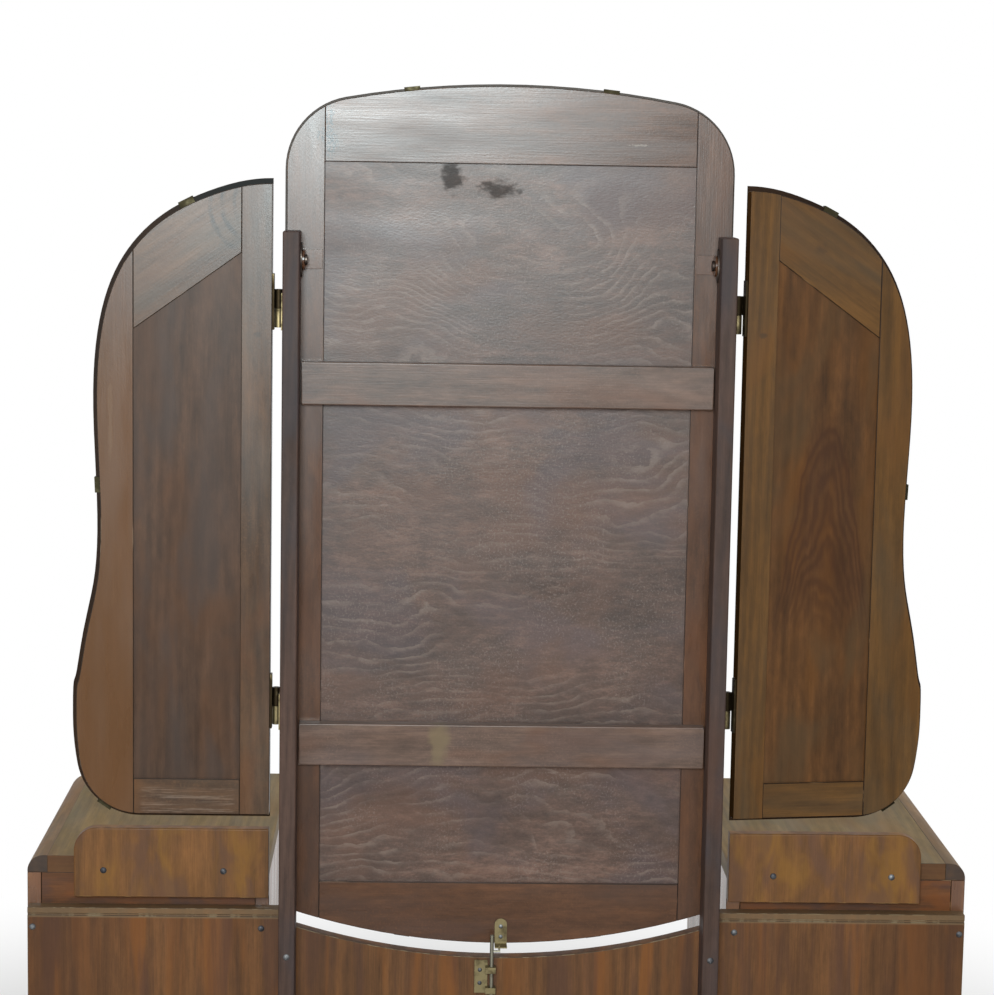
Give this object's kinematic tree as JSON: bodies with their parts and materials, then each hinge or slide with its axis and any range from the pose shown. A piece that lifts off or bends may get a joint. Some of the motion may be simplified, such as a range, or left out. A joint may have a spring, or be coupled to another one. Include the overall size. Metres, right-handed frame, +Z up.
{
  "type": "dressing table",
  "caption": "Knee-well dressing table with drawer pedestals on cabriole legs, a tall tilting centre mirror between posts and hinged shaped wing mirrors.",
  "frame": {"origin": "on the floor, under the middle of the overall box", "axes": "+Z up; the drawers and the mirrors face -Y, the posts stand at the back towards +Y; +X is to the right of someone who stands in front and looks towards +Y"},
  "size_m": [1.219, 0.5714, 1.6549],
  "materials": {
    "walnut": "french polished walnut veneer, satin",
    "walnut_top": "polished walnut, faded",
    "walnut_lipping": "solid walnut lipping, polished",
    "walnut_leg": "stained beech, polished",
    "pine": "bare pine",
    "carcass_back": "stained softwood",
    "gallery": "polished walnut, golden brown",
    "back_board": "stained plywood, worn polish",
    "post_wood": "dark stained beech",
    "mirror_frame": "stained frame, aged polish",
    "mirror_batten": "stained batten, aged polish",
    "mirror_ply": "stained plywood, aged polish",
    "wing_left_wood": "stained walnut, olive brown",
    "wing_right_wood": "stained walnut, orange brown",
    "wing_ply": "stained plywood, dark",
    "drawer_veneer": "figured walnut veneer, polished",
    "drawer_lining": "waxed softwood",
    "hinge_brass": "aged brass",
    "catch_brass": "aged brass",
    "knob_brass": "turned brass, lacquered",
    "screw_steel": "blued steel, dull",
    "rod_steel": "bright steel, tarnished",
    "silvered_glass": "silvered plate glass, painted back"
  },
  "bodies": {
    "carcass": {"pedestal_left_outer_side": "walnut", "pedestal_left_inner_side": "walnut", "pedestal_right_outer_side": "walnut", "pedestal_right_inner_side": "walnut", "pedestal_left_top": "walnut_top", "pedestal_right_top": "walnut_top", "top_lipping_strips": "walnut_lipping", "pedestal_bottoms": "pine", "back_rails": "carcass_back", "gallery_boards": "gallery", "back_panel_left": "back_board", "back_panel_right": "back_board", "well_back_panel": "back_board", "drawer_rails": "walnut", "drawer_runners": "pine", "well_platform": "walnut_top", "well_front_rail": "walnut", "front_legs": "walnut_leg", "back_legs": "walnut_leg", "mirror_post_left": "post_wood", "mirror_post_right": "post_wood", "post_hinge_leaves": "hinge_brass", "pivot_plates": "hinge_brass", "mirror_bolt_guide": "catch_brass", "back_screws": "screw_steel"},
    "drawer_left_upper": {"drawer_left_upper_front": "drawer_veneer", "drawer_left_upper_box": "drawer_lining", "drawer_left_upper_knob": "knob_brass"},
    "drawer_left_lower": {"drawer_left_lower_front": "drawer_veneer", "drawer_left_lower_box": "drawer_lining", "drawer_left_lower_knob": "knob_brass"},
    "drawer_right_upper": {"drawer_right_upper_front": "drawer_veneer", "drawer_right_upper_box": "drawer_lining", "drawer_right_upper_knob": "knob_brass"},
    "drawer_right_lower": {"drawer_right_lower_front": "drawer_veneer", "drawer_right_lower_box": "drawer_lining", "drawer_right_lower_knob": "knob_brass"},
    "drawer_centre": {"drawer_centre_front": "drawer_veneer", "drawer_centre_box": "drawer_lining", "drawer_centre_knobs": "knob_brass"},
    "mirror": {"mirror_stiles": "mirror_frame", "mirror_rails": "mirror_frame", "mirror_battens": "mirror_batten", "mirror_panel": "mirror_ply", "mirror_glass": "silvered_glass", "mirror_clips": "catch_brass", "pivot_brackets": "screw_steel", "mirror_catch": "catch_brass"},
    "wing_right": {"wing_right_frame": "wing_right_wood", "wing_right_panel": "wing_ply", "wing_right_glass": "silvered_glass", "wing_right_clips": "catch_brass", "wing_right_hinge_leaves": "hinge_brass"},
    "wing_left": {"wing_left_frame": "wing_left_wood", "wing_left_panel": "wing_ply", "wing_left_glass": "silvered_glass", "wing_left_clips": "catch_brass", "wing_left_hinge_leaves": "hinge_brass"},
    "mirror_bolt": {"mirror_bolt_rod": "rod_steel"}
  },
  "joints": [
    {"name": "drawer_left_upper_slide", "type": "slide", "parent": "carcass", "child": "drawer_left_upper", "axis": [0, -1, 0], "range_m": [0, 0.33]},
    {"name": "drawer_left_lower_slide", "type": "slide", "parent": "carcass", "child": "drawer_left_lower", "axis": [0, -1, 0], "range_m": [0, 0.33]},
    {"name": "drawer_right_upper_slide", "type": "slide", "parent": "carcass", "child": "drawer_right_upper", "axis": [0, -1, 0], "range_m": [0, 0.33]},
    {"name": "drawer_right_lower_slide", "type": "slide", "parent": "carcass", "child": "drawer_right_lower", "axis": [0, -1, 0], "range_m": [0, 0.33]},
    {"name": "drawer_centre_slide", "type": "slide", "parent": "carcass", "child": "drawer_centre", "axis": [0, -1, 0], "range_m": [0, 0.33]},
    {"name": "mirror_tilt", "type": "hinge", "parent": "carcass", "child": "mirror", "pos_m": [0, 0.2503, 1.434], "axis": [-1, 0, 0], "range_deg": [0, 10]},
    {"name": "wing_right_hinge", "type": "hinge", "parent": "carcass", "child": "wing_right", "pos_m": [0.289, 0.2333, 1.1], "axis": [0, 0, 1], "range_deg": [-90, 15]},
    {"name": "wing_left_hinge", "type": "hinge", "parent": "carcass", "child": "wing_left", "pos_m": [-0.289, 0.2333, 1.1], "axis": [0, 0, 1], "range_deg": [-23, 82]},
    {"name": "mirror_bolt_slide", "type": "slide", "parent": "carcass", "child": "mirror_bolt", "axis": [0, 0, 1], "range_m": [-0.018, 0.003]}
  ]
}
